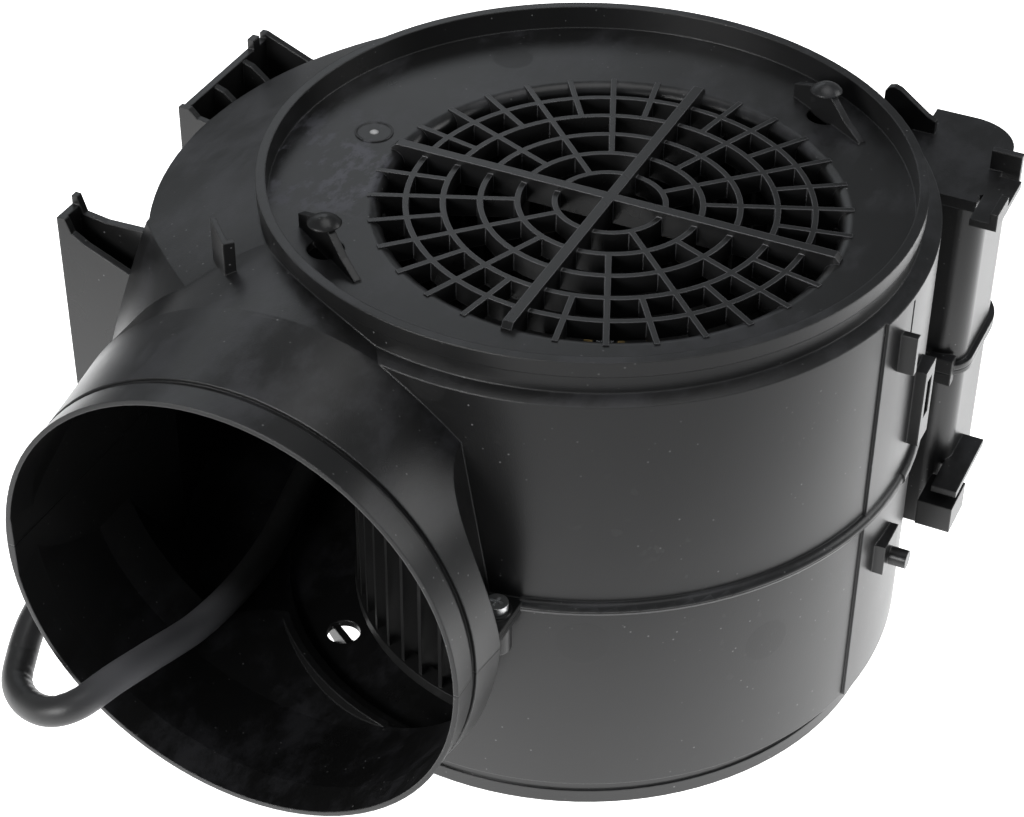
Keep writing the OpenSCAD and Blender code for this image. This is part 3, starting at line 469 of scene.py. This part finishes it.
def sleeve_pvc():
    """Soft black sleeve: dull bloom, rubbed patches, and a painted sheen that makes its run into
    the mouth paler.
    """
    f = Finish("sleeve_pvc")
    bloom = f.noise(48, 3)
    skin = f.noise(1500, 2)
    rub = f.step(f.noise(260, 4, 0.65), 0.6, 0.78)
    # Painted sheen: the run into the mouth made paler and bluer.
    painted_sheen = f.step(f.distance(metres(SHEEN_RUN_AT)), 46 * MM, 14 * MM)
    colour = f.blend(bloom, grey(0.014), grey(0.026))
    colour = f.blend(painted_sheen, colour, grey(0.19, 0.06))
    colour = f.blend(0.25 * rub, colour, grey(0.12))
    return f.surface({
        "Base Color": colour,
        "Roughness": 0.34 + 0.14 * bloom + 0.06 * rub,
        "Normal": f.relief(skin, 0.05 * MM, None, 0.6),
    })


def studio_paper():
    """White paper with an oval pool of light painted on it as glow under the blower, fading softly
    all round.
    """
    f = Finish("studio_paper")
    tone = f.noise(3, 2)
    x, y = f.axis("X") - POOL_X, f.axis("Y") - POOL_Y
    along = math.sin(VIEW_AZIMUTH) * x - math.cos(VIEW_AZIMUTH) * y
    across = POOL_RATIO * (math.cos(VIEW_AZIMUTH) * x + math.sin(VIEW_AZIMUTH) * y)
    # Painted light: the paper glows fully in the pool and faintly outside it.
    lit = f.step((along * along + across * across) ** 0.5, POOL_FADED, POOL_FULL)
    return f.surface({
        "Base Color": f.blend(tone, grey(0.70), grey(0.74)),
        "Roughness": 0.85,
        "Emission Color": f.blend(lit, grey(0.11), grey(1.0)),
        "Emission Strength": POOL_STRENGTH,
    })


FINISHES = {
    "housing_plastic": housing_plastic(),
    "guard_plastic": guard_plastic(),
    "impeller_plastic": impeller_plastic(),
    "zinc_steel": zinc_steel(),
    "brass": turned_metal(
        "brass", (0.55, 0.35, 0.11, 1), (0.86, 0.63, 0.28, 1), 0.2, 0.5 * MM),
    "shaft_steel": turned_metal(
        "shaft_steel", (0.42, 0.42, 0.43, 1), (0.62, 0.62, 0.63, 1), 0.18, 0.4 * MM),
    "lamination_steel": lamination_steel(),
    "cast_aluminium": cast_aluminium(),
    "winding_copper": winding_copper(),
    "insulator_plastic": dull_moulding(
        "insulator_plastic", (0.55, 0.50, 0.38, 1), (0.68, 0.63, 0.50, 1), 0.4),
    "washer_fibre": dull_moulding(
        "washer_fibre", (0.16, 0.05, 0.03, 1), (0.26, 0.09, 0.05, 1), 0.6, 900, 0.12),
    "rubber": dull_moulding("rubber", grey(0.012), grey(0.024), 0.62, 1100, 0.1),
    "capacitor_case": dull_moulding(
        "capacitor_case", (0.62, 0.62, 0.60, 1), (0.74, 0.74, 0.71, 1), 0.36),
    "terminal_nylon": dull_moulding(
        "terminal_nylon", (0.60, 0.58, 0.51, 1), (0.72, 0.70, 0.63, 1), 0.38),
    "black_nylon": dull_moulding("black_nylon", grey(0.010), grey(0.020), 0.4),
    "sleeve_pvc": sleeve_pvc(),
}

NODE_FINISH = {
    "upper_housing": "housing_plastic", "lower_housing": "housing_plastic",
    "upper_inlet_guard": "guard_plastic", "lower_motor_spider": "guard_plastic",
    "impeller": "impeller_plastic", "hub_bush": "brass", "hub_nut": "brass",
    "motor_shaft": "shaft_steel", "rotor_core": "lamination_steel",
    "rotor_cage": "cast_aluminium", "thrust_washers": "washer_fibre",
    "stator_core": "lamination_steel", "slot_insulators": "insulator_plastic",
    "stator_windings": "winding_copper",
    "upper_end_shield": "cast_aluminium", "lower_end_shield": "cast_aluminium",
    "upper_bearing": "brass", "lower_bearing": "brass",
    "motor_bolts": "zinc_steel", "motor_nuts": "zinc_steel",
    "mount_screws": "zinc_steel", "seam_screws": "zinc_steel",
    "rubber_mounts": "rubber", "cable_grommet": "rubber",
    "run_capacitor": "capacitor_case", "terminal_block": "terminal_nylon",
    "lead_sleeve": "sleeve_pvc", "lead_connector": "black_nylon",
}


def finish_nodes():
    """Each CAD node in its own finish."""
    for name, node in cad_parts.items():
        node.data.materials.clear()
        node.data.materials.append(FINISHES[NODE_FINISH[name]])


# Lead

def smooth_route(points, steps):
    """Points along a smooth curve through the route."""
    route = [Vector(p) * MM for p in points]
    ends = [2 * route[0] - route[1]] + route + [2 * route[-1] - route[-2]]
    line = []
    for i in range(len(route) - 1):
        a, b, c, d = ends[i:i + 4]
        for k in range(steps):
            t = k / steps
            line.append(0.5 * (
                2 * b + (c - a) * t
                + (2 * a - 5 * b + 4 * c - d) * t ** 2
                + (3 * b - a - 3 * c + d) * t ** 3
            ))
    line.append(route[-1])
    return line


def lead_tube():
    """Sleeve of the lead, with the wrinkles that its tight bend pushes up on the inside."""
    line = smooth_route(LEAD_ROUTE, LEAD_STEPS)
    last = len(line) - 1
    verts, faces = [], []
    run = 0.0
    for i, centre in enumerate(line):
        ahead, behind = line[min(i + 3, last)], line[max(i - 3, 0)]
        chord = ahead - behind
        bow = ahead + behind - 2 * centre
        bend = min(1.0, 4 * WRINKLE_BEND_R * bow.length / chord.length ** 2)
        inward = bow.normalized()
        along = chord.normalized()
        side = along.cross(Vector((0, 0, 1))).normalized()
        top = side.cross(along)
        run += (centre - line[max(i - 1, 0)]).length
        drift = 0.8 * math.sin(run / WRINKLE_DRIFT)
        fold = 0.5 - 0.5 * math.cos(FULL_TURN * run / WRINKLE_PITCH + drift)
        for k in range(LEAD_SIDES):
            turn = FULL_TURN * k / LEAD_SIDES
            out = math.cos(turn) * side + math.sin(turn) * top
            inner = max(0.0, out.dot(inward))
            dent = FOLD_DEPTH * bend ** 2 * inner ** 1.5 * fold + HOLLOW_DEPTH * bend * inner ** 2
            verts.append(centre + out * (LEAD_D / 2 - dent))
    for i in range(last):
        ring, following = i * LEAD_SIDES, (i + 1) * LEAD_SIDES
        for k in range(LEAD_SIDES):
            n = (k + 1) % LEAD_SIDES
            faces.append((ring + k, ring + n, following + n, following + k))
    faces.append(tuple(range(LEAD_SIDES - 1, -1, -1)))
    faces.append(tuple(last * LEAD_SIDES + k for k in range(LEAD_SIDES)))
    mesh = bpy.data.meshes.new("lead_tube")
    mesh.from_pydata(verts, [], faces)
    mesh.materials.append(FINISHES["sleeve_pvc"])
    tube = bpy.data.objects.new("lead_tube", mesh)
    bpy.context.scene.collection.objects.link(tube)
    bpy.ops.object.select_all(action="DESELECT")
    tube.select_set(True)
    bpy.context.view_layer.objects.active = tube
    bpy.ops.object.mode_set(mode="EDIT")
    bpy.ops.mesh.select_all(action="SELECT")
    bpy.ops.mesh.normals_make_consistent(inside=False)
    bpy.ops.object.mode_set(mode="OBJECT")
    bpy.ops.object.shade_smooth_by_angle(angle=LEAD_SMOOTH)
    length = sum((b - a).length for a, b in zip(line, line[1:]))
    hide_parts("lead_sleeve")
    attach(tube, "housing")


# Small mouldings

def pick_top(piece):
    """In edit mode, selects the faces that look up."""
    bpy.ops.mesh.select_mode(type="FACE")
    bpy.ops.mesh.select_all(action="DESELECT")
    bpy.ops.object.mode_set(mode="OBJECT")
    for face in piece.data.polygons:
        face.select = face.normal.z > 0.9
    bpy.ops.object.mode_set(mode="EDIT")


def gate_mark(name, z, up):
    """Round land on a plate where the plastic was let in, with its broken-off nib."""
    bpy.ops.object.select_all(action="DESELECT")
    bpy.ops.mesh.primitive_cylinder_add(
        vertices=72, radius=LAND_R, depth=LAND_H, location=(0, 0, 0))
    land = bpy.context.object
    land.name = name
    bpy.ops.object.mode_set(mode="EDIT")
    pick_top(land)
    bpy.ops.mesh.inset(thickness=LAND_RIM)
    bpy.ops.mesh.inset(thickness=DISH_SLOPE)
    bpy.ops.transform.translate(value=(0, 0, -DISH_DEPTH))
    bpy.ops.mesh.inset(thickness=DISH_FLOOR)
    bpy.ops.mesh.extrude_region_move(TRANSFORM_OT_translate={"value": (0, 0, NIB_H)})
    bpy.ops.transform.resize(value=(NIB_TAPER, NIB_TAPER, 1))
    bpy.ops.mesh.inset(thickness=NIB_EDGE)
    bpy.ops.transform.translate(value=NIB_TIP)
    bpy.ops.object.mode_set(mode="OBJECT")
    if not up:
        land.rotation_euler = (math.pi, 0, 0)
    land.location = (GATE_X, GATE_Y, z)
    bpy.ops.object.transform_apply(location=True, rotation=True, scale=True)
    bpy.ops.object.shade_smooth_by_angle(angle=MOULDING_SMOOTH)
    land.data.materials.append(FINISHES["housing_plastic"])
    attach(land, "housing")


# Studio

def soft_light(name, at, aim, size, power, colour=(1, 1, 1)):
    lamp = bpy.data.lights.new(name, "AREA")
    lamp.shape = "RECTANGLE"
    lamp.size, lamp.size_y = size
    lamp.energy = power
    lamp.color = colour
    light = bpy.data.objects.new(name, lamp)
    light.location = at
    light.rotation_euler = (Vector(aim) - Vector(at)).to_track_quat("-Z", "Y").to_euler()
    bpy.context.scene.collection.objects.link(light)


def add_studio():
    """White paper floor in a dim room: lights overhead, behind on both sides and in front."""
    room = bpy.data.worlds.new("studio")
    bpy.context.scene.world = room
    room.use_nodes = True
    air = room.node_tree.nodes["Background"]
    air.inputs["Color"].default_value = COOL_WHITE + (1,)
    air.inputs["Strength"].default_value = 0.2
    bpy.ops.object.select_all(action="DESELECT")
    bpy.ops.mesh.primitive_plane_add(size=FLOOR_SIZE, location=(0, 0, 0))
    paper = bpy.context.object
    paper.name = "floor"
    paper.data.materials.append(studio_paper())
    soft_light("overhead", (0.1, 0.1, 1.6), (0, 0, 0), (1.2, 1.0), 5)
    soft_light(
        "left_back", (-0.75, 0.82, 0.85), (-0.06, 0, 0.16), (0.9, 0.5), 1.1, COOL_WHITE)
    soft_light("right_back", (0.95, 0.6, 0.62), (0, -0.05, 0.12), (0.7, 0.6), 3.4)
    soft_light("mouth_fill", (-0.5, -1.5, 0.6), (-0.06, -0.08, 0.06), (1.2, 0.6), 20)
    bpy.context.scene.view_settings.view_transform = "Standard"


add_camera()
lead_tube()
finish_nodes()
gate_mark("upper_gate_mark", PLATE_Z, True)
gate_mark("lower_gate_mark", LOWER_PLATE_Z, False)
add_studio()
